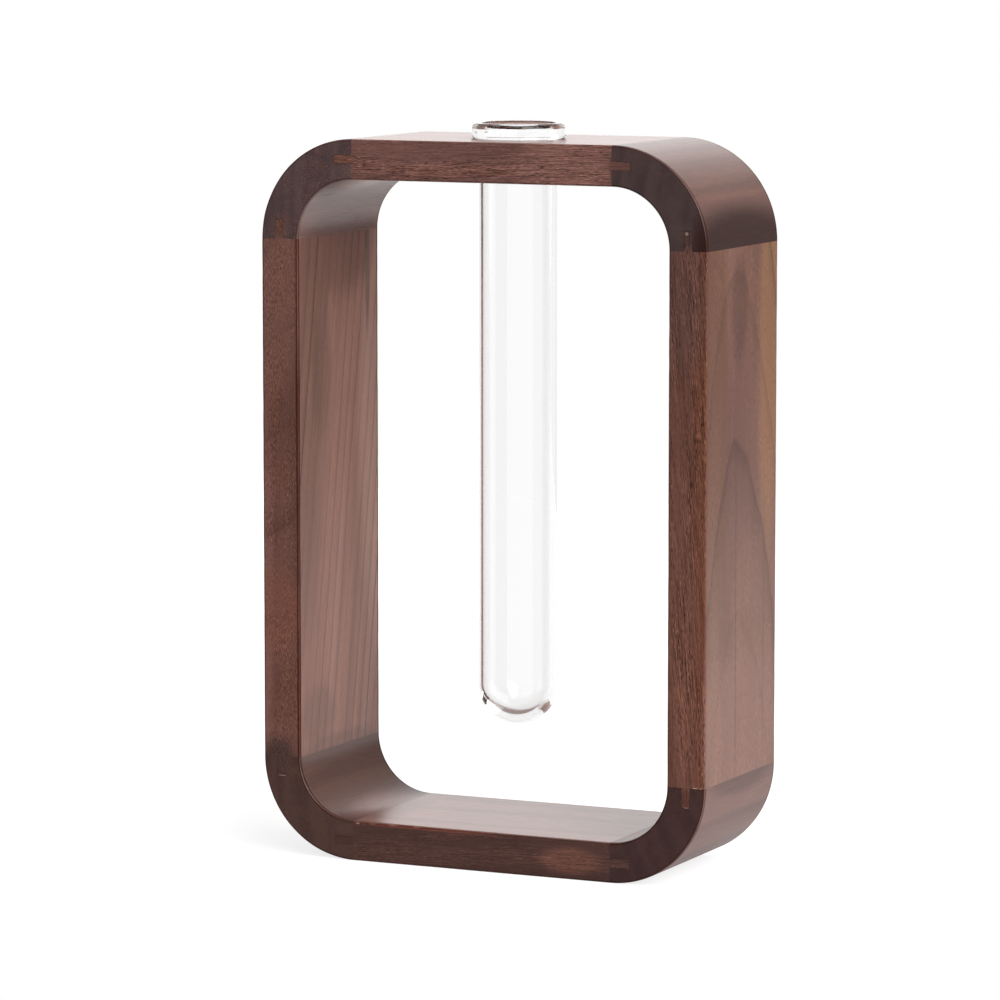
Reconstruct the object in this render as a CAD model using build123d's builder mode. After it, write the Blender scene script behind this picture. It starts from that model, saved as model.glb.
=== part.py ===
"""Test tube vase: a standing walnut frame that carries one glass test tube.

The frame is a rounded rectangle on edge. Two rails and two stiles are joined by four curved corner
blocks. Each board ends in a tongue that is glued into a slot in the block, and the tongues show on the
front and the back. The test tube hangs by its rim in a hole through the top rail, and lifts out.

Millimetres. X is the width, Y the depth with the front at -Y, Z up. The origin lies under the middle of
the frame, on the surface that it stands on.
"""
import os

from build123d import *

# Frame as a whole
frame_width = 120.0
frame_height = 180.0
frame_depth = 45.0

# Boards and corner blocks
board_thickness = 10.0
corner_radius = 25.0
arris_radius = 0.6

# Tongue and slot joints
tongue_thickness = 2.0
tongue_length = 4.8
glue_gap = 0.05
slot_end_gap = 0.15

# Test tube: a half sphere outside at its bottom, and a slightly flatter dish inside
tube_diameter = 20.0
tube_wall = 1.1
tube_floor = 2.3
dish_middle_excess = 0.6
dish_side_inset = 2.4
space_under_tube = 23.9
rim_height = 3.9
rim_overhang = 1.8
rim_seat_inset = 0.6
rim_foot_radius = 1.5
rim_neck_radius = 0.3

# Hole for the tube
hole_clearance = 0.4
hole_edge_radius = 0.3

# Extra length of a cut past the face it starts from
overrun = 2.0

# Sizes worked out from those above
rail_run = frame_width - 2 * corner_radius
stile_run = frame_height - 2 * corner_radius
rail_centre_height = frame_height - board_thickness / 2
stile_centre_offset = (frame_width - board_thickness) / 2
slot_radius = corner_radius - board_thickness / 2
slot_width = tongue_thickness + 2 * glue_gap
slot_depth = tongue_length + slot_end_gap

tube_radius = tube_diameter / 2
bore_radius = tube_radius - tube_wall
dish_middle_radius = bore_radius + dish_middle_excess
dish_side_radius = bore_radius - dish_side_inset
dish_radius_step = dish_middle_radius - dish_side_radius
dish_side_share = dish_middle_radius / dish_radius_step
tube_bottom_height = board_thickness + space_under_tube
tube_top_height = frame_height + rim_height
rim_radius = tube_radius + rim_overhang
rim_seat_radius = rim_radius - rim_seat_inset
rim_lip_radius = (rim_radius - bore_radius) / 2
rim_foot_height = (rim_foot_radius**2 - (rim_foot_radius - rim_seat_inset) ** 2) ** 0.5
hole_radius = tube_radius + hole_clearance


def front_plane(x, z, x_direction=(1, 0, 0)):
    """Upright plane through the middle of the frame's depth, facing the front."""
    return Plane(origin=(x, 0, z), x_dir=x_direction, z_dir=(0, -1, 0))


def board_outline(run):
    """Front outline of a board along the sketch's X, with a tongue at each end."""
    Rectangle(run, board_thickness)
    Rectangle(run + 2 * tongue_length, tongue_thickness)


def ease_board(board, along):
    """Round the four long edges of a board, and leave its tongues sharp."""
    long_edges = board.edges().filter_by(along).group_by(SortBy.LENGTH)[-1]
    fillet(long_edges, arris_radius)


# Top rail, with the hole that the tube hangs in
with BuildPart() as top_rail:
    with BuildSketch(front_plane(0, rail_centre_height)):
        board_outline(rail_run)
    extrude(amount=frame_depth / 2, both=True)
    ease_board(top_rail, Axis.X)
    with BuildSketch(Plane.XY.offset(frame_height + overrun)):
        Circle(hole_radius)
    extrude(amount=-(board_thickness + 2 * overrun), mode=Mode.SUBTRACT)
    hole_edges = top_rail.edges().filter_by(GeomType.CIRCLE).filter_by(
        lambda edge: abs(edge.radius - hole_radius) < hole_edge_radius
    )
    fillet(hole_edges, hole_edge_radius)
top_rail.part.label = "top_rail"

# Bottom rail, which the vase stands on
with BuildPart() as bottom_rail:
    with BuildSketch(front_plane(0, board_thickness / 2)):
        board_outline(rail_run)
    extrude(amount=frame_depth / 2, both=True)
    ease_board(bottom_rail, Axis.X)
bottom_rail.part.label = "bottom_rail"

# Stiles: the two upright boards
stiles = []
for side, side_name in ((-1, "left"), (1, "right")):
    with BuildPart() as stile:
        with BuildSketch(front_plane(side * stile_centre_offset, frame_height / 2, (0, 0, 1))):
            board_outline(stile_run)
        extrude(amount=frame_depth / 2, both=True)
        ease_board(stile, Axis.Z)
    stile.part.label = f"{side_name}_stile"
    stiles.append(stile.part)

# Corner blocks: quarter rings with a slot in each end for a board's tongue
# Each block's own X points along an end face of the ring, a quarter turn on from the block before it.
corners = []
corner_places = (
    ("top_right", 1, 1, (1, 0, 0)),
    ("top_left", -1, 1, (0, 0, 1)),
    ("bottom_left", -1, -1, (-1, 0, 0)),
    ("bottom_right", 1, -1, (0, 0, -1)),
)
for corner_name, side, level, x_direction in corner_places:
    centre_x = side * rail_run / 2
    centre_z = frame_height / 2 + level * stile_run / 2
    with BuildPart() as corner:
        with BuildSketch(front_plane(centre_x, centre_z, x_direction)):
            Circle(corner_radius)
            Circle(corner_radius - board_thickness, mode=Mode.SUBTRACT)
            Rectangle(corner_radius, corner_radius, align=Align.MIN, mode=Mode.INTERSECT)
        extrude(amount=frame_depth / 2, both=True)
        arrises = corner.edges().filter_by(GeomType.CIRCLE)
        fillet(arrises, arris_radius)
        with BuildSketch(front_plane(centre_x, centre_z, x_direction)):
            with Locations((slot_radius, -overrun)):
                Rectangle(slot_width, slot_depth + overrun, align=(Align.CENTER, Align.MIN))
            with Locations((-overrun, slot_radius)):
                Rectangle(slot_depth + overrun, slot_width, align=(Align.MIN, Align.CENTER))
        extrude(amount=frame_depth / 2 + overrun, both=True, mode=Mode.SUBTRACT)
    corner.part.label = f"corner_{corner_name}"
    corners.append(corner.part)

# Glass test tube: a round-bottomed wall with a thick fire-polished rim that rests on the rail
with BuildPart() as glass_tube:
    outer_centre = tube_bottom_height + tube_radius
    dish_bottom_height = tube_bottom_height + tube_floor
    dish_middle_centre = dish_bottom_height + dish_middle_radius
    dish_side_drop = (dish_radius_step**2 - dish_side_inset**2) ** 0.5
    dish_side_centre = dish_middle_centre - dish_side_drop
    neck_height = frame_height - rim_neck_radius
    lip_base_height = tube_top_height - rim_lip_radius
    with BuildSketch(Plane.XZ):
        with BuildLine():
            outer_end = RadiusArc((0, tube_bottom_height), (tube_radius, outer_centre), -tube_radius)
            outer_wall = Line(outer_end @ 1, (tube_radius, neck_height))
            neck = RadiusArc(outer_wall @ 1, (tube_radius + rim_neck_radius, frame_height), rim_neck_radius)
            seat = Line(neck @ 1, (rim_seat_radius, frame_height))
            foot = RadiusArc(seat @ 1, (rim_radius, frame_height + rim_foot_height), -rim_foot_radius)
            side = Line(foot @ 1, (rim_radius, lip_base_height))
            lip_top = (rim_radius - rim_lip_radius, tube_top_height)
            lip = ThreePointArc(side @ 1, lip_top, (bore_radius, lip_base_height))
            bore = Line(lip @ 1, (bore_radius, dish_side_centre))
            dish_corner = (
                dish_side_inset * dish_side_share,
                dish_middle_centre - dish_side_drop * dish_side_share,
            )
            dish_side = RadiusArc(bore @ 1, dish_corner, dish_side_radius)
            dish_middle = RadiusArc(dish_side @ 1, (0, dish_bottom_height), dish_middle_radius)
            Line(dish_middle @ 1, (0, tube_bottom_height))
        make_face()
    revolve(axis=Axis.Z)
glass_tube.part.label = "glass_tube"

os.makedirs("parts", exist_ok=True)
for piece in (top_rail.part, bottom_rail.part, *stiles, *corners, glass_tube.part):
    export_step(piece, f"parts/{piece.label}.step")
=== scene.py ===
"""Looks of the test tube vase: a standing walnut frame that carries one glass test tube.

Metres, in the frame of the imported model: X is the width, Y the depth with the front at -Y, Z up.
The boards, corner blocks and tube are made again at the sizes of their nodes, the wood with worn
arrises, and glue is added in the joints. The light is a plain studio: white paper below, a white
backdrop behind on the left, a broad soft lamp on the front right and a weaker one on the back right.
"""
import math

import bmesh
import bpy
from mathutils import Matrix, Vector, noise


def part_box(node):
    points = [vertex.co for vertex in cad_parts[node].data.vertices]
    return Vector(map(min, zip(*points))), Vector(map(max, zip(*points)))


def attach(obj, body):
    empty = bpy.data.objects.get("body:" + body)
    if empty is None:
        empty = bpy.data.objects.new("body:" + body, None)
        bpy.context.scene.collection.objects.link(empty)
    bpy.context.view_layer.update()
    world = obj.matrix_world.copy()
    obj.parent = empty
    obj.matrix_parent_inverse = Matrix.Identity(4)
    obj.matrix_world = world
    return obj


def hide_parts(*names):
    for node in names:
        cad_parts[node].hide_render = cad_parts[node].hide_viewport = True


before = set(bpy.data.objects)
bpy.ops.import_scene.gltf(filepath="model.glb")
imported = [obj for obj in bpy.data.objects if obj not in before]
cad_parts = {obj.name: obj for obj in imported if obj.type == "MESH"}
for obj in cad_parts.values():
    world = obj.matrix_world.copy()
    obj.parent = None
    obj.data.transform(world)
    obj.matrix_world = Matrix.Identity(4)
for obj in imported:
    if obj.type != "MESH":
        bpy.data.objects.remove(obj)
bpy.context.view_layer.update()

MM = 0.001
QUARTER_TURN = math.pi / 2

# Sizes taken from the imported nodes
rail_low, rail_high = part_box("bottom_rail")
corner_low, corner_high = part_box("corner_bottom_right")
tube_low, tube_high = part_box("glass_tube")
frame_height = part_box("top_rail")[1].z
frame_depth = rail_high.y - rail_low.y
board_thickness = rail_high.z - rail_low.z
corner_radius = corner_high.z - corner_low.z
half_width = corner_high.x
arc_centre_x = half_width - corner_radius
rail_run = 2 * arc_centre_x
stile_run = frame_height - 2 * corner_radius
tongue_length = rail_high.x - arc_centre_x
slot_radius = corner_radius - board_thickness / 2

# Small sizes of the joints and edges
tongue_thickness = 2.0 * MM
glue_gap = 0.05 * MM
slot_end_gap = 0.15 * MM
slot_overrun = 2.0 * MM
arris_radius = 0.6 * MM
arris_wear = 0.07 * MM
wear_length = 5.0 * MM
hole_radius = 10.4 * MM
hole_edge_radius = 0.3 * MM

# Glue films: how far they lie under the front and back, and how much of their gap they fill
glue_depth = 0.08 * MM
film_share = 0.8

# Sizes of the tube
tube_radius = 10.0 * MM
bore_radius = 8.9 * MM
tube_floor = 2.3 * MM
dish_middle_radius = 9.5 * MM
dish_side_radius = 6.5 * MM
rim_radius = tube_high.x
rim_seat_inset = 0.6 * MM
rim_seat_radius = rim_radius - rim_seat_inset
rim_foot_radius = 1.5 * MM
rim_neck_radius = 0.3 * MM

# How finely the round shapes are divided
arris_segments = 5
hole_edge_segments = 3
hole_segments = 96
block_steps = 48
cuts_per_wear_length = 3
neck_steps = 4
foot_steps = 8
dish_side_steps = 12
round_steps = 24
tube_steps = 160

# Lengths that count as none, the cosines past which a face looks out at an end or at the front, and
# the angle past which an edge is sharp
weld_distance = 0.001 * MM
tolerance = 0.01 * MM
end_cosine = 0.9
front_cosine = 0.98
sharp_angle = math.radians(35)

# Patches of the walnut's noises, in mm: the width across the fibres and the length along them
bend_size = (14, 90)
patch_size = (7, 60)
warmth_size = (4, 45)
fibre_size = (0.16, 6)
pore_size = (0.13, 1.3)
# How many of its patches away the warmth starts, so that it differs from the other noises
warmth_start = 40

# Growth rings, in mm: how far they sway, and how wide their dark line, soft shade and pale end are
ring_sway = 2.0
late_line = 0.8
late_shade = 1.8
late_end = 0.15

# Relief of the fibres, and waver of the stains and painted light, in mm
fibre_relief = 0.04
stain_and_painted_light_waver = 1.2

# Levels of the noises between which a thing fades in
deep_levels = (0.8, 1.2)
warm_levels = (0.5, 0.72)
patchy_levels = (0.38, 0.6)
fibre_levels = (0.3, 0.7)
pore_levels = (0.58, 0.76)
torn_levels = (0.38, 0.2)
oil_levels = (0.35, 0.55)
dust_levels = (0.4, 0.6)
# Shares of the half sizes of each stain and patch of painted light between which it fades out
stain_and_painted_light_fade_shares = (0.55, 1.15)

# Tones that all the walnut has in common
late_wood_tone = "#2a1a16"
oil_tone = "#33150f"

# Places on the frame in mm: the front, the outer and inner sides of the stiles, and the top rail's middle
half_depth = frame_depth / 2 / MM
front = -half_depth
outer = half_width / MM
board = board_thickness / MM
inner = outer - board
top_middle = frame_height / MM - board / 2

# Bands of depth in mm, in from the front and back: the sawn edges begin, and the wax ends
edge_band = (half_depth - 0.5, half_depth - 0.1)
wax_band = (half_depth - 0.3, half_depth - 0.05)
# The middle and half width of the lines of oil on the two sides of each arris
front_oil_line = (half_depth - 0.08, 0.06)
side_oil_line = (half_depth - 0.75, 0.25)

# Camera, with the lens in mm for a sensor 36 mm wide
camera_azimuth = math.radians(25.09)
camera_elevation = math.radians(6.79)
camera_distance = 1.2964
camera_aim = Vector((-5.11, 0, 89.79)) * MM
camera_lens = 187.23


def linear(hex_colour):
    """Turn an sRGB hex colour into the linear colour that a shader socket takes."""
    values = [int(hex_colour[i:i + 2], 16) / 255 for i in (1, 3, 5)]
    return [v / 12.92 if v <= 0.04045 else ((v + 0.055) / 1.055) ** 2.4 for v in values] + [1.0]


def add_node(tree, kind, inputs=None, **settings):
    """Add a node with its settings, and give each named or numbered input a value or a link."""
    node = tree.nodes.new(kind)
    for name, value in settings.items():
        setattr(node, name, value)
    for key, value in (inputs or {}).items():
        if isinstance(value, bpy.types.NodeSocket):
            tree.links.new(value, node.inputs[key])
        else:
            node.inputs[key].default_value = value
    return node


def new_material(name):
    """An empty material and its node tree."""
    material = bpy.data.materials.new(name)
    material.use_nodes = True
    material.node_tree.nodes.clear()
    return material, material.node_tree


def make_piece(name, bm, material, node, body):
    """Turn a bmesh into a smooth piece that rides on a body and may stand for a node."""
    bmesh.ops.recalc_face_normals(bm, faces=bm.faces)
    for face in bm.faces:
        face.smooth = True
    mesh = bpy.data.meshes.new(name)
    bm.to_mesh(mesh)
    bm.free()
    mesh.set_sharp_from_angle(angle=sharp_angle)
    mesh.materials.append(material)
    piece = bpy.data.objects.new(name, mesh)
    bpy.context.collection.objects.link(piece)
    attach(piece, body)
    if node:
        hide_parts(node)
    # Rounded arrises shade softly without bending the light on the flat faces beside them
    weighted = piece.modifiers.new("flat_faces", "WEIGHTED_NORMAL")
    weighted.keep_sharp = True


def everything(bm):
    """All of a bmesh, as an operator's geometry."""
    return bm.verts[:] + bm.edges[:] + bm.faces[:]


def new_verts(result):
    """The vertices among what a bmesh operator made."""
    return [part for part in result["geom"] if isinstance(part, bmesh.types.BMVert)]


def end_section(bm):
    """A board's or block's section, flat in XY and centred on the origin, with rounded arrises."""
    bmesh.ops.create_grid(bm, x_segments=1, y_segments=1, size=0.5)
    bmesh.ops.scale(bm, vec=(board_thickness, frame_depth, 1), verts=bm.verts)
    bmesh.ops.bevel(
        bm, geom=bm.verts[:], offset=arris_radius, affect="VERTICES", segments=arris_segments,
        profile=0.5, material=-1,
    )


def cut_at(bm, place, direction):
    """Score the whole mesh along a plane."""
    bmesh.ops.bisect_plane(
        bm, geom=everything(bm), dist=weld_distance, plane_co=place, plane_no=direction
    )


def wear_arrises(bm, seed):
    """Push the vertices of the rounded arrises in a little, unevenly along the grain."""
    for vert in bm.verts:
        on_arris = abs(vert.co.y) > frame_depth / 2 - arris_radius and abs(vert.normal.y) < front_cosine
        if on_arris and vert.is_manifold:
            sample = noise.noise(vert.co / wear_length + Vector((seed, 0, 0)))
            vert.co -= vert.normal * arris_wear * max(0, sample)


def board_mesh(run, seed):
    """A board along Z, centred on the origin, with a tongue at each end and worn arrises."""
    bm = bmesh.new()
    end_section(bm)
    bmesh.ops.translate(bm, vec=(0, 0, -run / 2), verts=bm.verts)
    raised = bmesh.ops.extrude_face_region(bm, geom=bm.faces[:])
    bmesh.ops.translate(bm, vec=(0, 0, run), verts=new_verts(raised))
    bmesh.ops.recalc_face_normals(bm, faces=bm.faces)

    # Score the board on both sides of the tongues, and draw the band between out at each end
    for side in (-1, 1):
        cut_at(bm, (side * tongue_thickness / 2, 0, 0), (1, 0, 0))
    for end in (-1, 1):
        bands = [
            face for face in bm.faces
            if face.normal.z * end > end_cosine
            and abs(face.calc_center_median().x) < tongue_thickness / 4
        ]
        tongue = bmesh.ops.extrude_face_region(bm, geom=bands)
        bmesh.ops.translate(bm, vec=(0, 0, end * tongue_length), verts=new_verts(tongue))
        bmesh.ops.delete(bm, geom=bands, context="FACES_ONLY")

    # Divide the long edges finely enough for the wear
    long_edges = [edge for edge in bm.edges if abs(edge.calc_length() - run) < tolerance]
    cuts = int(run / wear_length * cuts_per_wear_length)
    bmesh.ops.subdivide_edges(bm, edges=long_edges, cuts=cuts)
    bm.normal_update()
    wear_arrises(bm, seed)
    return bm


def corner_mesh(seed):
    """A quarter ring about the Y axis, from +X round to +Z, with worn arrises and no slots yet."""
    bm = bmesh.new()
    end_section(bm)
    bmesh.ops.translate(bm, vec=(slot_radius, 0, 0), verts=bm.verts)
    bmesh.ops.spin(
        bm, geom=everything(bm), cent=(0, 0, 0), axis=(0, -1, 0), angle=QUARTER_TURN,
        steps=block_steps, use_merge=False,
    )
    bmesh.ops.recalc_face_normals(bm, faces=bm.faces)
    bm.normal_update()
    wear_arrises(bm, seed)
    return bm


def slot_cutter():
    """Two bars that cut the slots into the ends of a quarter ring."""
    bm = bmesh.new()
    depth = tongue_length + slot_end_gap
    width = tongue_thickness + 2 * glue_gap
    for turned in (False, True):
        bar = bmesh.ops.create_cube(bm, size=1)["verts"]
        bmesh.ops.scale(
            bm, vec=(width, frame_depth + 2 * slot_overrun, depth + slot_overrun), verts=bar
        )
        bmesh.ops.translate(bm, vec=(slot_radius, 0, (depth - slot_overrun) / 2), verts=bar)
        if turned:
            swap_x_and_z = Matrix(((0, 0, 1), (0, 1, 0), (1, 0, 0)))
            bmesh.ops.transform(bm, matrix=swap_x_and_z.to_4x4(), verts=bar)
    bmesh.ops.recalc_face_normals(bm, faces=bm.faces)
    return bm


def carve(bm, cutter_bm):
    """Cut one closed mesh out of another and give back what is left."""
    objects = []
    for shape in (bm, cutter_bm):
        mesh = bpy.data.meshes.new("carving")
        shape.to_mesh(mesh)
        shape.free()
        objects.append(bpy.data.objects.new("carving", mesh))
        bpy.context.collection.objects.link(objects[-1])
    body, cutter = objects
    cut = body.modifiers.new("cut", "BOOLEAN")
    cut.operation = "DIFFERENCE"
    cut.solver = "EXACT"
    cut.object = cutter
    evaluated = body.evaluated_get(bpy.context.evaluated_depsgraph_get())
    result = bmesh.new()
    result.from_mesh(evaluated.to_mesh())
    for shape in objects:
        bpy.data.objects.remove(shape)
    return result


def drill_hole(bm):
    """Cut the tube's hole down through the top rail and round its two edges."""
    cutter = bmesh.new()
    bmesh.ops.create_cone(
        cutter, cap_ends=True, segments=hole_segments, radius1=hole_radius, radius2=hole_radius,
        depth=3 * board_thickness,
    )
    middle = frame_height - board_thickness / 2
    bmesh.ops.translate(cutter, vec=(0, 0, middle), verts=cutter.verts)
    bm = carve(bm, cutter)
    hole_edges = [
        edge for edge in bm.edges
        if all(abs(vert.co.to_2d().length - hole_radius) < tolerance for vert in edge.verts)
        and abs(edge.verts[0].co.z - edge.verts[1].co.z) < tolerance
    ]
    bmesh.ops.bevel(
        bm, geom=hole_edges, offset=hole_edge_radius, affect="EDGES", segments=hole_edge_segments,
        profile=0.5, material=-1,
    )
    return bm


def glue_mesh(joint, turns):
    """The glue round one tongue, turned by quarter turns: a film on each side and one at the end."""
    bm = bmesh.new()
    film_depth = frame_depth - 2 * glue_depth
    film_place = (tongue_thickness + glue_gap) / 2
    films = [
        (side * film_place, tongue_length / 2, film_share * glue_gap, tongue_length) for side in (-1, 1)
    ]
    films.append((0, tongue_length + slot_end_gap / 2, tongue_thickness, film_share * slot_end_gap))
    for across, along, thickness, length in films:
        film = bmesh.ops.create_cube(bm, size=1)["verts"]
        bmesh.ops.scale(bm, vec=(length, film_depth, thickness), verts=film)
        bmesh.ops.translate(bm, vec=(along, 0, across), verts=film)
    turn = Matrix.Rotation(turns * QUARTER_TURN, 3, "Y")
    bmesh.ops.rotate(bm, cent=(0, 0, 0), matrix=turn, verts=bm.verts)
    bmesh.ops.translate(bm, vec=joint, verts=bm.verts)
    return bm


def arc(bm, start, centre, turn, steps):
    """Carry a profile on from a vertex along an arc in XZ, and give back its last vertex."""
    swept = bmesh.ops.spin(
        bm, geom=[start], cent=centre, axis=(0, -1, 0), angle=turn, steps=steps, use_merge=False
    )
    return next(part for part in swept["geom_last"] if isinstance(part, bmesh.types.BMVert))


def line(bm, start, x, z):
    """Carry a profile on from a vertex along a straight line to a place in XZ."""
    end = bmesh.ops.extrude_vert_indiv(bm, verts=[start])["verts"][0]
    end.co = (x, 0, z)
    return end


def tube_mesh():
    """The test tube, spun about Z from the profile of its wall."""
    bm = bmesh.new()
    outer_centre = tube_low.z + tube_radius
    dish_step = dish_middle_radius - dish_side_radius
    dish_inset = bore_radius - dish_side_radius
    dish_half_angle = math.asin(dish_inset / dish_step)
    dish_middle_centre = tube_low.z + tube_floor + dish_middle_radius
    dish_side_centre = dish_middle_centre - math.sqrt(dish_step**2 - dish_inset**2)
    foot_rise = math.sqrt(rim_foot_radius**2 - (rim_foot_radius - (rim_radius - rim_seat_radius)) ** 2)
    foot_turn = math.asin(foot_rise / rim_foot_radius)
    foot_centre = (rim_radius - rim_foot_radius, 0, frame_height + foot_rise)
    lip_radius = (rim_radius - bore_radius) / 2
    lip_base = tube_high.z - lip_radius
    neck_radius = tube_radius + rim_neck_radius
    neck_height = frame_height - rim_neck_radius
    place = bm.verts.new((0, 0, tube_low.z))
    place = arc(bm, place, (0, 0, outer_centre), QUARTER_TURN, round_steps)
    place = line(bm, place, tube_radius, neck_height)
    place = arc(bm, place, (neck_radius, 0, neck_height), -QUARTER_TURN, neck_steps)
    place = line(bm, place, rim_seat_radius, frame_height)
    place = arc(bm, place, foot_centre, foot_turn, foot_steps)
    place = line(bm, place, rim_radius, lip_base)
    place = arc(bm, place, (rim_radius - lip_radius, 0, lip_base), math.pi, round_steps)
    place = line(bm, place, bore_radius, dish_side_centre)
    dish_side_turn = dish_half_angle - QUARTER_TURN
    place = arc(bm, place, (dish_inset, 0, dish_side_centre), dish_side_turn, dish_side_steps)
    arc(bm, place, (0, 0, dish_middle_centre), -dish_half_angle, round_steps)
    bmesh.ops.spin(
        bm, geom=everything(bm), cent=(0, 0, 0), axis=(0, 0, 1), angle=2 * math.pi, steps=tube_steps,
        use_merge=True,
    )
    bmesh.ops.remove_doubles(bm, verts=bm.verts, dist=weld_distance)
    return bm


def along_fibres(tree, fibres, size, start=0, **noise_inputs):
    """Noise drawn out along the fibres, in patches of a width and length in mm."""
    width, length = size
    stretched = add_node(tree, "ShaderNodeMapping", {
        "Vector": fibres, "Location": (start, 0, 0), "Scale": (1 / width, 1 / width, 1 / length),
    })
    return add_node(tree, "ShaderNodeTexNoise", {
        "Vector": stretched.outputs[0], "Scale": 1.0, **noise_inputs,
    })


def growth_rings(tree, fibres, bend, pith, spacing, darkest):
    """Growth rings about the tree's centre: the count of rings out to a place, and their shade there."""
    soft_share = 0.3
    faintest_share = 0.25

    # The distance from the pith, across the fibres alone
    bent = add_node(tree, "ShaderNodeVectorMath", {
        0: bend.outputs["Color"], 1: (ring_sway, ring_sway, 0.0), 2: fibres,
    }, operation="MULTIPLY_ADD")
    from_pith = add_node(tree, "ShaderNodeVectorMath", {
        0: bent.outputs[0], 1: (*pith, 0.0),
    }, operation="SUBTRACT")
    from_pith = add_node(tree, "ShaderNodeVectorMath", {
        0: from_pith.outputs[0], 1: (1.0, 1.0, 0.0),
    }, operation="MULTIPLY")
    radius = add_node(tree, "ShaderNodeVectorMath", {0: from_pith.outputs[0]}, operation="LENGTH")
    rings = add_node(tree, "ShaderNodeMath", {
        0: radius.outputs["Value"], 1: spacing,
    }, operation="DIVIDE")
    past_ring = add_node(tree, "ShaderNodeMath", {0: rings.outputs[0]}, operation="FRACT")
    to_next = add_node(tree, "ShaderNodeMath", {
        0: past_ring.outputs[0], 1: -spacing, 2: spacing,
    }, operation="MULTIPLY_ADD")

    # A soft shade that ends in a thin dark line, and then at once in pale early wood
    dark_line = add_node(tree, "ShaderNodeMapRange", {
        "Value": to_next.outputs[0], "From Max": late_line, "To Min": 1.0, "To Max": 0.0,
    })
    soft_shade = add_node(tree, "ShaderNodeMapRange", {
        "Value": to_next.outputs[0], "From Max": late_shade, "To Min": soft_share, "To Max": 0.0,
    })
    late_wood = add_node(tree, "ShaderNodeMath", {
        0: dark_line.outputs[0], 1: soft_shade.outputs[0],
    }, operation="MAXIMUM")
    fade = add_node(tree, "ShaderNodeMapRange", {"Value": to_next.outputs[0], "From Max": late_end})
    late_wood = add_node(tree, "ShaderNodeMath", {
        0: late_wood.outputs[0], 1: fade.outputs[0],
    }, operation="MULTIPLY")

    # Each ring's own strength: most are faint and a few are dark
    ring_number = add_node(tree, "ShaderNodeMath", {0: rings.outputs[0]}, operation="FLOOR")
    draw = add_node(tree, "ShaderNodeTexWhiteNoise", {"W": ring_number.outputs[0]},
                    noise_dimensions="1D")
    strength = add_node(tree, "ShaderNodeMath", {
        0: draw.outputs["Value"], 1: draw.outputs["Value"],
    }, operation="MULTIPLY")
    strength = add_node(tree, "ShaderNodeMapRange", {
        "Value": strength.outputs[0], "To Min": faintest_share * darkest, "To Max": darkest,
    })
    shade = add_node(tree, "ShaderNodeMath", {
        0: late_wood.outputs[0], 1: strength.outputs[0],
    }, operation="MULTIPLY")
    return rings.outputs[0], shade.outputs[0]


def heartwood(tree, fibres, rings, warmth, tones):
    """Paler, deeper and warmer wood: slow patches along the board, and whole rings that differ."""
    bands_per_ring = 0.7
    warmest = 0.6
    pale, deep, warm = (linear(tone) for tone in tones)
    patch = along_fibres(tree, fibres, patch_size, Detail=3.0)
    band = add_node(tree, "ShaderNodeTexNoise", {"W": rings, "Scale": bands_per_ring, "Detail": 1.0},
                    noise_dimensions="1D")
    depth_of_tone = add_node(tree, "ShaderNodeMath", {0: patch.outputs["Fac"], 1: band.outputs["Fac"]})
    deep_amount = add_node(tree, "ShaderNodeMapRange", {
        "Value": depth_of_tone.outputs[0], "From Min": deep_levels[0], "From Max": deep_levels[1],
    })
    warm_amount = add_node(tree, "ShaderNodeMapRange", {
        "Value": warmth, "From Min": warm_levels[0], "From Max": warm_levels[1], "To Max": warmest,
    })
    wood = add_node(tree, "ShaderNodeMix", {
        0: deep_amount.outputs[0], 6: pale, 7: deep,
    }, data_type="RGBA")
    wood = add_node(tree, "ShaderNodeMix", {
        0: warm_amount.outputs[0], 6: wood.outputs[2], 7: warm,
    }, data_type="RGBA")
    return wood.outputs[2]


def add_stains_and_painted_light(tree, wood, spot, bend, stains_and_painted_light):
    """Streaks, tongues and specks of one piece alone, and its patches of painted shade and sheen, with
    wavering edges.
    """
    waver = add_node(tree, "ShaderNodeVectorMath", {
        0: bend.outputs["Color"], 1: (stain_and_painted_light_waver,) * 3, 2: spot,
    }, operation="MULTIPLY_ADD")
    for centre, half_sizes, colour, strength in stains_and_painted_light:
        shift = add_node(tree, "ShaderNodeVectorMath", {
            0: waver.outputs[0], 1: tuple(value + stain_and_painted_light_waver / 2 for value in centre),
        }, operation="SUBTRACT")
        shift = add_node(tree, "ShaderNodeVectorMath", {
            0: shift.outputs[0], 1: half_sizes,
        }, operation="DIVIDE")
        reach = add_node(tree, "ShaderNodeVectorMath", {0: shift.outputs[0]}, operation="LENGTH")
        amount = add_node(tree, "ShaderNodeMapRange", {
            "Value": reach.outputs["Value"], "To Min": strength, "To Max": 0.0,
            "From Min": stain_and_painted_light_fade_shares[0], "From Max": stain_and_painted_light_fade_shares[1],
        }, interpolation_type="SMOOTHSTEP")
        mixed = add_node(tree, "ShaderNodeMix", {
            0: amount.outputs[0], 6: wood, 7: linear(colour),
        }, data_type="RGBA")
        wood = mixed.outputs[2]
    return wood


def arris_oil(tree, depth, bend, most):
    """How much dark oil has gathered in the lines on both sides of the rounded arrises."""
    least_share = 0.6
    lines = [
        add_node(tree, "ShaderNodeMath", {0: depth, 1: middle, 2: half}, operation="COMPARE").outputs[0]
        for middle, half in (front_oil_line, side_oil_line)
    ]
    from_arris = add_node(tree, "ShaderNodeMath", {0: lines[0], 1: lines[1]}, operation="MAXIMUM")
    amount = add_node(tree, "ShaderNodeMapRange", {
        "Value": bend.outputs["Fac"], "From Min": oil_levels[0], "From Max": oil_levels[1],
        "To Min": least_share * most, "To Max": most,
    })
    oil = add_node(tree, "ShaderNodeMath", {
        0: from_arris.outputs[0], 1: amount.outputs[0],
    }, operation="MULTIPLY")
    return oil.outputs[0]


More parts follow.
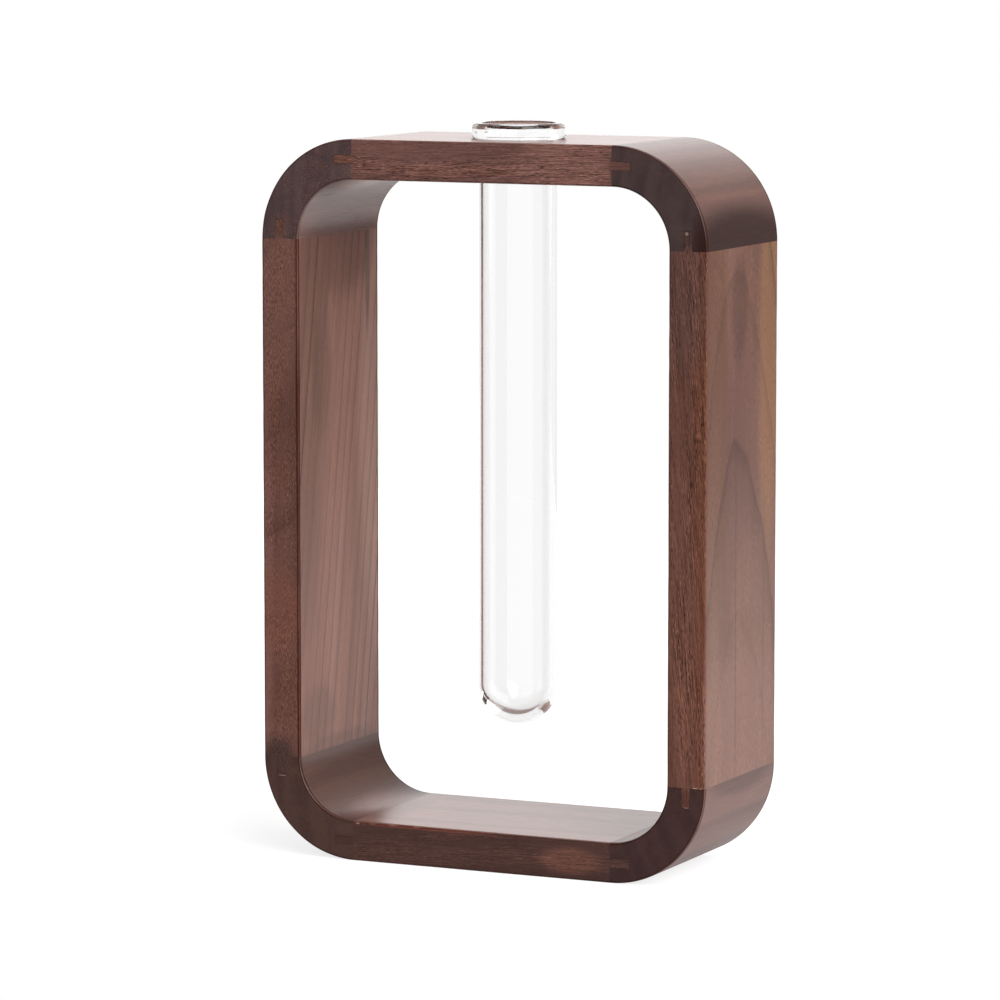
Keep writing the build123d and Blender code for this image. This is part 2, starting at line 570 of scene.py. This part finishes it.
def fibre_texture(tree, fibre, pore, warmth, on_edge, flecks):
    """How much brighter or darker fibres, open pores and torn fibres that catch the light make it.

    The fibres are drawn 0.16 mm wide, coarser than the wood's own, which are too fine to show. The pores
    are about as wide as real ones. Both are faint on the planed faces and strong on the sawn edges.
    """
    planed_share = 0.35
    patchy_shares = (0.55, 1.35)
    swing_most = 0.55
    pore_most = 0.55
    amount = add_node(tree, "ShaderNodeMapRange", {
        "Value": on_edge, "To Min": planed_share * flecks, "To Max": flecks,
    })
    patchy = add_node(tree, "ShaderNodeMapRange", {
        "Value": warmth, "From Min": patchy_levels[0], "From Max": patchy_levels[1],
        "To Min": patchy_shares[0], "To Max": patchy_shares[1],
    })
    amount = add_node(tree, "ShaderNodeMath", {
        0: amount.outputs[0], 1: patchy.outputs[0],
    }, operation="MULTIPLY")
    swing = add_node(tree, "ShaderNodeMapRange", {
        "Value": fibre, "From Min": fibre_levels[0], "From Max": fibre_levels[1],
        "To Min": swing_most, "To Max": -swing_most,
    })
    pore_shade = add_node(tree, "ShaderNodeMapRange", {
        "Value": pore, "From Min": pore_levels[0], "From Max": pore_levels[1], "To Max": -pore_most,
    })
    torn_light = add_node(tree, "ShaderNodeMapRange", {
        "Value": pore, "From Min": torn_levels[0], "From Max": torn_levels[1], "To Max": 1.0,
    })
    texture = add_node(tree, "ShaderNodeMath", {0: swing.outputs[0], 1: pore_shade.outputs[0]})
    texture = add_node(tree, "ShaderNodeMath", {0: texture.outputs[0], 1: torn_light.outputs[0]})
    texture = add_node(tree, "ShaderNodeMath", {
        0: texture.outputs[0], 1: amount.outputs[0], 2: 1.0,
    }, operation="MULTIPLY_ADD")
    return texture.outputs[0]


def wax_coat(tree, depth, fibre, oil, polish):
    """The share of wax: more on the faces than on the edges, uneven along the fibres, none on the oil."""
    edge_wax = 0.1
    streak_shares = (1.1, 0.9)
    wax = add_node(tree, "ShaderNodeMapRange", {
        "Value": depth, "From Min": wax_band[0], "From Max": wax_band[1],
        "To Min": polish, "To Max": edge_wax,
    })
    streaks = add_node(tree, "ShaderNodeMapRange", {
        "Value": fibre, "From Min": fibre_levels[0], "From Max": fibre_levels[1],
        "To Min": streak_shares[0], "To Max": streak_shares[1],
    })
    wax = add_node(tree, "ShaderNodeMath", {
        0: wax.outputs[0], 1: streaks.outputs[0],
    }, operation="MULTIPLY")
    clean = add_node(tree, "ShaderNodeMath", {0: 1.0, 1: oil}, operation="SUBTRACT")
    wax = add_node(tree, "ShaderNodeMath", {0: wax.outputs[0], 1: clean.outputs[0]},
                   operation="MULTIPLY")
    return wax.outputs[0]


def walnut(name, tones, edge_tint, polish, grain, lean, pith, ring_spacing, ring_depth, arris_line,
           flecks, stains_and_painted_light=()):
    """Oiled walnut, sanded and waxed: fine fibres, short open pores and thin dark growth lines.

    The thin coat of wax gives a satin gloss that whitens at a low angle. tones are the pale, deep and
    warm colours of the heartwood, and edge_tint what the front and back edges, which drink more oil,
    keep of them. polish is the share of wax on the broad faces. grain is the axis that the fibres
    follow, and lean the two angles that they turn from it. pith is the tree's centre across the fibres
    in mm, and ring_depth how dark the darkest ring is. arris_line is the strength of the dark line of
    oil along the arrises, and flecks that of the fibres and pores. Each stain, and each patch of painted
    shade or sheen, has a place, half sizes in mm, a colour and a strength.
    """
    material, tree = new_material(name)
    edge_ring_share = 0.35
    roughness = (0.42, 0.54)
    grain_turns = {"X": (0, -QUARTER_TURN, 0), "Y": (QUARTER_TURN, 0, 0), "Z": (0, 0, 0)}
    place = add_node(tree, "ShaderNodeTexCoord").outputs["Object"]
    spot = add_node(tree, "ShaderNodeMapping", {"Vector": place, "Scale": (1 / MM,) * 3}).outputs[0]
    upright = add_node(tree, "ShaderNodeMapping", {"Vector": spot, "Rotation": grain_turns[grain]})
    fibres = add_node(tree, "ShaderNodeMapping", {
        "Vector": upright.outputs[0], "Rotation": (*lean, 0),
    }).outputs[0]
    bend = along_fibres(tree, fibres, bend_size, Detail=2.0)
    warmth = along_fibres(tree, fibres, warmth_size, warmth_start, Detail=2.0).outputs["Fac"]
    fibre = along_fibres(tree, fibres, fibre_size, Detail=2.0, Roughness=0.6).outputs["Fac"]
    pore = along_fibres(tree, fibres, pore_size, Detail=0.0, Distortion=0.3).outputs["Fac"]
    depth = add_node(tree, "ShaderNodeSeparateXYZ", {0: spot})
    depth = add_node(tree, "ShaderNodeMath", {0: depth.outputs["Y"]}, operation="ABSOLUTE").outputs[0]
    on_edge = add_node(tree, "ShaderNodeMapRange", {
        "Value": depth, "From Min": edge_band[0], "From Max": edge_band[1],
    }).outputs[0]

    # Colour, from the wood itself out to what lies on it
    rings, ring_shade = growth_rings(tree, fibres, bend, pith, ring_spacing, ring_depth)
    wood = heartwood(tree, fibres, rings, warmth, tones)
    wood = add_node(tree, "ShaderNodeMix", {
        0: on_edge, 6: wood, 7: (*edge_tint, 1.0),
    }, data_type="RGBA", blend_type="MULTIPLY").outputs[2]
    wood = add_stains_and_painted_light(tree, wood, spot, bend, stains_and_painted_light)
    fainter = add_node(tree, "ShaderNodeMapRange", {
        "Value": on_edge, "To Min": 1.0, "To Max": edge_ring_share,
    })
    ring_shade = add_node(tree, "ShaderNodeMath", {
        0: ring_shade, 1: fainter.outputs[0],
    }, operation="MULTIPLY")
    ringed = add_node(tree, "ShaderNodeMix", {
        0: ring_shade.outputs[0], 6: wood, 7: linear(late_wood_tone),
    }, data_type="RGBA")
    oil = arris_oil(tree, depth, bend, arris_line)
    oiled = add_node(tree, "ShaderNodeMix", {
        0: oil, 6: ringed.outputs[2], 7: linear(oil_tone),
    }, data_type="RGBA")
    textured = add_node(tree, "ShaderNodeVectorMath", {
        0: oiled.outputs[2], "Scale": fibre_texture(tree, fibre, pore, warmth, on_edge, flecks),
    }, operation="SCALE")

    # Gloss and relief: dark fibres are duller, and dark fibres and pores are hollows
    gloss = add_node(tree, "ShaderNodeMapRange", {
        "Value": fibre, "From Min": fibre_levels[0], "From Max": fibre_levels[1],
        "To Min": roughness[0], "To Max": roughness[1],
    })
    height = add_node(tree, "ShaderNodeMath", {0: fibre, 1: pore}, operation="ADD")
    bump = add_node(tree, "ShaderNodeBump", {
        "Height": height.outputs[0], "Strength": 0.3, "Distance": -fibre_relief * MM,
    })
    shader = add_node(tree, "ShaderNodeBsdfPrincipled", {
        "Base Color": textured.outputs[0], "Roughness": gloss.outputs[0], "Specular IOR Level": 0.0,
        "Normal": bump.outputs[0], "Coat Weight": wax_coat(tree, depth, fibre, oil, polish),
        "Coat Roughness": 0.3, "Coat IOR": 1.5,
    })
    add_node(tree, "ShaderNodeOutputMaterial", {"Surface": shader.outputs[0]})
    return material


def wood_glue(name, dusty, clean):
    """Dried wood glue in the joints: a dull film that has taken up walnut dust in places."""
    material, tree = new_material(name)
    dust_size = 1.5 * MM
    place = add_node(tree, "ShaderNodeTexCoord").outputs["Object"]
    dust = add_node(tree, "ShaderNodeTexNoise", {"Vector": place, "Scale": 1 / dust_size, "Detail": 2.0})
    amount = add_node(tree, "ShaderNodeMapRange", {
        "Value": dust.outputs["Fac"], "From Min": dust_levels[0], "From Max": dust_levels[1],
    })
    colour = add_node(tree, "ShaderNodeMix", {
        0: amount.outputs[0], 6: linear(dusty), 7: linear(clean),
    }, data_type="RGBA")
    shader = add_node(tree, "ShaderNodeBsdfPrincipled", {
        "Base Color": colour.outputs[2], "Roughness": 0.6, "IOR": 1.5,
    })
    add_node(tree, "ShaderNodeOutputMaterial", {"Surface": shader.outputs[0]})
    return material


def tube_glass():
    """Borosilicate glass, drawn and fire polished: clear, with dark lines only where it bends light."""
    material, tree = new_material("borosilicate_glass")
    shader = add_node(tree, "ShaderNodeBsdfPrincipled", {
        "Base Color": linear("#ffffff"), "Roughness": 0.0, "IOR": 1.474, "Transmission Weight": 1.0,
    })
    add_node(tree, "ShaderNodeOutputMaterial", {"Surface": shader.outputs[0]})
    return material


def white_paper():
    """Matt white paper that keeps the vase's shadow, lifted to a clear white where it is looked at.

    Half of what the camera and the glass see is the lift, a weaker one through the glass. Gloss sees the
    lift by half as much.
    """
    seen_lift = 1.55
    glass_lift = 1.19
    lift_share = 0.5
    gloss_share = 0.5
    material, tree = new_material("white_paper")
    rays = add_node(tree, "ShaderNodeLightPath")
    seen = add_node(tree, "ShaderNodeMath", {
        0: rays.outputs["Is Camera Ray"], 1: rays.outputs["Is Transmission Ray"],
    }, operation="MAXIMUM")
    seen = add_node(tree, "ShaderNodeMath", {
        0: rays.outputs["Is Glossy Ray"], 1: gloss_share, 2: seen.outputs[0],
    }, operation="MULTIPLY_ADD")
    paper = add_node(tree, "ShaderNodeBsdfDiffuse", {"Color": linear("#e6e6e6")})
    lift_level = add_node(tree, "ShaderNodeMapRange", {
        "Value": rays.outputs["Is Transmission Ray"], "To Min": seen_lift, "To Max": glass_lift,
    })
    lift = add_node(tree, "ShaderNodeEmission", {
        "Color": linear("#ffffff"), "Strength": lift_level.outputs[0],
    })
    lifted = add_node(tree, "ShaderNodeMixShader", {
        0: lift_share, 1: paper.outputs[0], 2: lift.outputs[0],
    })
    surface = add_node(tree, "ShaderNodeMixShader", {
        0: seen.outputs[0], 1: paper.outputs[0], 2: lifted.outputs[0],
    })
    add_node(tree, "ShaderNodeOutputMaterial", {"Surface": surface.outputs[0]})
    return material


# Each board's own wood, and where it was cut from the tree
board_woods = {
    "top_rail": dict(
        tones=("#966b60", "#866055", "#9c6c5b"), edge_tint=(0.60, 0.59, 0.63), polish=0.93,
        grain="X", lean=(0.0, 0.02), pith=(-150, -90), ring_spacing=5.0, ring_depth=0.35,
        arris_line=0.3, flecks=1.0,
        stains_and_painted_light=(
            # Left tongue, and the rosier right half of the front edge
            ((-38.5, front, top_middle), (4.5, 3, 3), "#6a4638", 0.7),
            ((22, front, top_middle), (14, 2, 8), "#8a625a", 0.7),
            # Painted shade: the unlit wall of the hole, and a dark ring on the wood under and round the
            # rim
            ((0, 0, top_middle), (13.5, 13.5, 40), "#050302", 1.0),
        ),
    ),
    "bottom_rail": dict(
        tones=("#8f665c", "#805b52", "#956757"), edge_tint=(0.31, 0.31, 0.33), polish=0.83,
        grain="X", lean=(0.0, 0.03), pith=(30, -70), ring_spacing=5.0, ring_depth=0.35,
        arris_line=0.5, flecks=0.55,
        stains_and_painted_light=(
            # Red line along the upper front arris, and four pale chips in it
            ((-14, front - 0.1, board - 0.1), (24, 0.6, 0.8), "#75453a", 0.8),
            ((-33.6, front + 0.1, board - 0.3), (0.6, 0.5, 0.25), "#c08c7c", 0.8),
            ((-29.5, front + 0.2, board - 0.2), (1.2, 0.5, 0.2), "#a87466", 0.7),
            ((-24, front + 0.2, board - 0.15), (1.6, 0.5, 0.2), "#a87466", 0.7),
            ((-17.5, front + 0.2, board - 0.2), (1.2, 0.5, 0.2), "#b07c6c", 0.6),
            # Paler wood on the right of the front edge, a darker top on the left, and the left tongue
            ((24, front, 4.7), (9, 4, 3.8), "#7a5245", 0.5),
            ((-35, 0, board), (9, 22, 3), "#78564e", 0.7),
            ((-38.4, front, board / 2), (3.6, 3, 3), "#46312c", 0.8),
        ),
    ),
    "left_stile": dict(
        tones=("#8a645a", "#7b574c", "#8d6251"), edge_tint=(0.63, 0.59, 0.60), polish=0.65,
        grain="Z", lean=(0.16, 0.0), pith=(-60, -132.7), ring_spacing=3.8, ring_depth=1.2,
        arris_line=0.8, flecks=0.55,
        stains_and_painted_light=(
            # Inner side: painted shade at the top, under the corner block; darker down the front half and
            # at the foot, pale at the back
            ((-inner, 0, 152), (3, 26, 14), "#6b4a40", 0.7),
            ((-inner, -20, 108), (3, 11, 60), "#5f443b", 0.55),
            ((-inner, -10, 124), (3, 6, 24), "#5a4138", 0.5),
            ((-inner, 22, 105), (3, 12, 62), "#a98577", 0.5),
            ((-inner, -12, 34), (3, 10, 9), "#5f463d", 0.45),
            ((-inner, 0, 24), (3, 26, 5), "#5c443c", 0.5),
            # Front edge: a paler outer arris and a dark red inner one, then clouds down its length
            ((0.5 - outer, front - 0.1, 68), (3, 2, 60), "#7e5850", 0.7),
            ((-inner - 0.1, front + 0.3, 90), (0.6, 0.8, 200), "#481f18", 0.85),
            ((-55, front, 104), (6, 2, 13), "#5c3c33", 0.35),
            ((-56, front, 62), (7, 2, 12), "#7c4d3e", 0.5),
            # A dark streak high on the inner side, then the upper front edge
            ((-inner, 16.3, 148), (2, 1.6, 22), "#4c3c37", 0.5),
            ((-55, front, 140), (8, 2, 25), "#77534a", 0.6),
            # Upper tongue, and the dark lower one with the foot of the edge
            ((-55, front, 158.4), (3, 3, 3.2), "#634439", 0.85),
            ((-56, front, 22), (6, 2, 9), "#453430", 0.9),
        ),
    ),
    "right_stile": dict(
        tones=("#77554a", "#684a40", "#7b5545"), edge_tint=(0.89, 0.78, 0.76), polish=0.65,
        grain="Z", lean=(0.0, 0.0976), pith=(14.7, -1.0), ring_spacing=4.03, ring_depth=0.6,
        arris_line=0.1, flecks=0.95,
        stains_and_painted_light=(
            # Front edge: a warm outer arris, and greyer wood towards the top
            ((outer - 0.8, front - 0.3, 90), (2.3, 2.2, 200), "#744430", 0.4),
            ((54.5, front, 145), (7, 2, 22), "#5f443f", 0.6),
            # Outer side: a dark heart high up, a pale foot that is painted sheen from the floor, two thin
            # dark lines, and four long streaks
            ((outer, -2, 108), (3, 11, 36), "#644540", 0.5),
            ((outer, -2, 140), (3, 6, 15), "#4f3831", 0.5),
            ((outer, 0, 38), (3, 30, 22), "#8a655b", 0.4),
            ((outer, -3.6, 60), (3, 0.5, 50), "#513a34", 0.5),
            ((outer, 14.3, 65), (3, 0.5, 45), "#513a34", 0.4),
            ((outer, -18, 40), (3, 4, 50), "#85624e", 0.35),
            ((outer, 17, 130), (3, 7, 55), "#8a6346", 0.6),
            ((outer, -17, 120), (3, 9, 60), "#603f2e", 0.45),
            # A white speck on the upper tongue, both tongues, and pale slivers at the lower joint
            ((54.6, front, 159.3), (0.5, 0.6, 0.45), "#fff0dc", 1.0),
            ((55, front, 158.6), (3, 3, 3.4), "#443330", 0.85),
            ((55, front, 22), (2.4, 2, 3.2), "#55362f", 0.8),
            ((57.5, front - 0.1, 25.1), (0.8, 0.6, 0.15), "#c9a77f", 0.7),
            ((59.0, front - 0.1, 25.1), (0.4, 0.6, 0.12), "#c9a77f", 0.7),
        ),
    ),
}
board_places = {
    "top_rail": (rail_run, (0, 0, frame_height - board_thickness / 2), True),
    "bottom_rail": (rail_run, (0, 0, board_thickness / 2), True),
    "left_stile": (stile_run, (board_thickness / 2 - half_width, 0, frame_height / 2), False),
    "right_stile": (stile_run, (half_width - board_thickness / 2, 0, frame_height / 2), False),
}
for seed, (node, (run, centre, lying)) in enumerate(board_places.items()):
    bm = board_mesh(run, seed)
    if lying:
        turn = Matrix.Rotation(QUARTER_TURN, 3, "Y")
        bmesh.ops.rotate(bm, cent=(0, 0, 0), matrix=turn, verts=bm.verts)
    bmesh.ops.translate(bm, vec=centre, verts=bm.verts)
    if node == "top_rail":
        bm = drill_hole(bm)
    wood = walnut(f"oiled_walnut_{node}", **board_woods[node])
    make_piece(f"{node}_wood", bm, wood, node, "frame")

# Corner blocks, each a quarter turn on from the one before it
first_corner_seed = 10
corner_places = (
    ("corner_top_right", 1, 1), ("corner_bottom_right", 1, -1),
    ("corner_bottom_left", -1, -1), ("corner_top_left", -1, 1),
)
corner_woods = {
    "corner_top_right": dict(
        tones=("#705047", "#63463f", "#745043"), edge_tint=(0.48, 0.63, 0.77), polish=0.84,
        pith=(160, -150), ring_spacing=2.4, ring_depth=0.12, arris_line=0.7, flecks=0.35,
        stains_and_painted_light=(
            # Dark end at the stile
            ((outer, 0, 155), (6, 40, 12), "#36211d", 1.0),
        ),
    ),
    "corner_bottom_right": dict(
        tones=("#755751", "#684d48", "#79574b"), edge_tint=(0.33, 0.32, 0.35), polish=0.6,
        pith=(-90, 60), ring_spacing=2.6, ring_depth=0.12, arris_line=0.7, flecks=0.35,
        stains_and_painted_light=(
            # Pale end at the rail, and a dark one at the stile
            ((35, 0, 8), (10, 21.5, 5), "#8f665c", 0.8),
            ((outer, 0, 25), (6, 21.5, 5), "#4f3a36", 0.6),
        ),
    ),
    "corner_bottom_left": dict(
        tones=("#5b413a", "#523a34", "#614338"), edge_tint=(0.73, 0.76, 0.80), polish=0.74,
        pith=(80, -20), ring_spacing=2.6, ring_depth=0.12, arris_line=0.8, flecks=0.4,
        stains_and_painted_light=(
            # Pale end at the rail
            ((-35, 0, 8), (15, 21.5, 5), "#856059", 0.7),
        ),
    ),
    "corner_top_left": dict(
        tones=("#74534b", "#674942", "#795347"), edge_tint=(0.59, 0.73, 0.88), polish=1.0,
        pith=(90, -160), ring_spacing=2.0, ring_depth=0.2, arris_line=0.5, flecks=0.8,
        stains_and_painted_light=(
            # A pale end at the rail, made paler still as painted sheen, a dark one at the stile, a paler
            # front beside it, and a short crack
            ((-35, 0, 172), (14, 21.5, 8), "#b8958a", 1.0),
            ((-inner, 0, 156), (3, 21.5, 6), "#5a403a", 0.5),
            ((-54, front, 158), (2.5, 2, 4), "#6b4a40", 0.35),
            ((-45.6, -14, 165.6), (0.6, 5, 0.4), "#33241f", 0.9),
        ),
    ),
}
for quarter, (node, side, level) in enumerate(corner_places):
    bm = carve(corner_mesh(quarter + first_corner_seed), slot_cutter())
    turn = Matrix.Rotation(quarter * QUARTER_TURN, 3, "Y")
    bmesh.ops.rotate(bm, cent=(0, 0, 0), matrix=turn, verts=bm.verts)
    centre = (side * arc_centre_x, 0, frame_height / 2 + level * stile_run / 2)
    bmesh.ops.translate(bm, vec=centre, verts=bm.verts)
    wood = walnut(f"oiled_dark_walnut_{node}", grain="Y", lean=(0.0, 0.0), **corner_woods[node])
    make_piece(f"{node}_wood", bm, wood, node, "frame")

# Glue round the tongues. It shows pale in three of the joints and dark in the others
pale_glue = wood_glue("dried_wood_glue", "#6b4d42", "#c9a48f")
dark_glue = wood_glue("dusty_wood_glue", "#3a2a26", "#4a3630")
pale_joints = ("bottom_right_rail", "bottom_right_stile", "bottom_left_stile")
for node, side, level in corner_places:
    rail_joint = (side * arc_centre_x, 0, (frame_height + level * (frame_height - board_thickness)) / 2)
    stile_joint = (
        side * (half_width - board_thickness / 2), 0, (frame_height + level * stile_run) / 2,
    )
    for piece, joint, turns in (("rail", rail_joint, 1 - side), ("stile", stile_joint, -level)):
        name = f"{node.removeprefix('corner_')}_{piece}"
        glue = pale_glue if name in pale_joints else dark_glue
        make_piece(f"glue_{name}", glue_mesh(joint, turns), glue, None, "frame")

# Test tube
make_piece("test_tube", tube_mesh(), tube_glass(), "glass_tube", "tube")

# Floor: a sheet of paper that reaches a little in front of the vase and some way behind it
sheet_width = 2.4
sheet_front = 0.12
sheet_back = 0.70
bm = bmesh.new()
bmesh.ops.create_grid(bm, x_segments=1, y_segments=1, size=0.5)
bmesh.ops.scale(bm, vec=(sheet_width, sheet_front + sheet_back, 1), verts=bm.verts)
bmesh.ops.translate(bm, vec=(0, (sheet_back - sheet_front) / 2, 0), verts=bm.verts)
mesh = bpy.data.meshes.new("floor")
bm.to_mesh(mesh)
bm.free()
mesh.materials.append(white_paper())
floor = bpy.data.objects.new("floor", mesh)
bpy.context.collection.objects.link(floor)

# World: plain white where it is looked at, soft light from all round, and for gloss a dark room with a
# white backdrop behind on the left
ambient_level = 0.42
room_level = 0.1
backdrop_level = 1.95
backdrop_direction = (-0.35, 0.93, 0.05)
backdrop_fade = (0.78, 0.97)
world = bpy.data.worlds.new("studio")
bpy.context.scene.world = world
world.use_nodes = True
tree = world.node_tree
tree.nodes.clear()
direction = add_node(tree, "ShaderNodeTexCoord").outputs["Generated"]
towards_back = add_node(tree, "ShaderNodeVectorMath", {0: direction, 1: backdrop_direction},
                        operation="DOT_PRODUCT")
studio = add_node(tree, "ShaderNodeMapRange", {
    "Value": towards_back.outputs["Value"], "From Min": backdrop_fade[0], "From Max": backdrop_fade[1],
    "To Min": room_level, "To Max": backdrop_level,
}, interpolation_type="SMOOTHSTEP")
rays = add_node(tree, "ShaderNodeLightPath")
white = add_node(tree, "ShaderNodeMath", {
    0: rays.outputs["Is Camera Ray"], 1: rays.outputs["Is Transmission Ray"],
}, operation="MAXIMUM")
lit_level = add_node(tree, "ShaderNodeMix", {
    0: rays.outputs["Is Diffuse Ray"], 2: studio.outputs[0], 3: ambient_level,
})
sky_level = add_node(tree, "ShaderNodeMix", {0: white.outputs[0], 2: lit_level.outputs[0], 3: 1.0})
sky = add_node(tree, "ShaderNodeBackground", {
    "Color": linear("#ffffff"), "Strength": sky_level.outputs[0],
})
add_node(tree, "ShaderNodeOutputWorld", {"Surface": sky.outputs[0]})

# Lamps: the direction of each, its spread in degrees, its strength, and whether gloss shows it
lamps = {
    "key": ((0.75, -0.43, 0.5), 55, 2.9, True),
    "back": ((0.6, 0.6, 0.5), 70, 0.9, False),
}
for name, (towards, spread, strength, mirrored) in lamps.items():
    light = bpy.data.lights.new(name, "SUN")
    light.angle = math.radians(spread)
    light.energy = strength
    lamp = bpy.data.objects.new(name, light)
    bpy.context.collection.objects.link(lamp)
    lamp.location = Vector(towards)
    lamp.rotation_euler = Vector(towards).to_track_quat("Z", "Y").to_euler()
    lamp.visible_glossy = mirrored

# Camera
camera = bpy.data.cameras.new("camera")
camera.lens = camera_lens
camera_object = bpy.data.objects.new("camera", camera)
bpy.context.collection.objects.link(camera_object)
towards_camera = Vector((
    math.sin(camera_azimuth) * math.cos(camera_elevation),
    -math.cos(camera_azimuth) * math.cos(camera_elevation),
    math.sin(camera_elevation),
))
camera_object.location = camera_aim + towards_camera * camera_distance
camera_object.rotation_euler = towards_camera.to_track_quat("Z", "Y").to_euler()
bpy.context.scene.camera = camera_object

bpy.context.scene.view_settings.view_transform = "Standard"

# The thick rim and bottom of the tube turn light round inside many times before they let it out
inner_turns = 32
bpy.context.scene.cycles.max_bounces = inner_turns
bpy.context.scene.cycles.glossy_bounces = inner_turns
bpy.context.scene.cycles.transmission_bounces = inner_turns
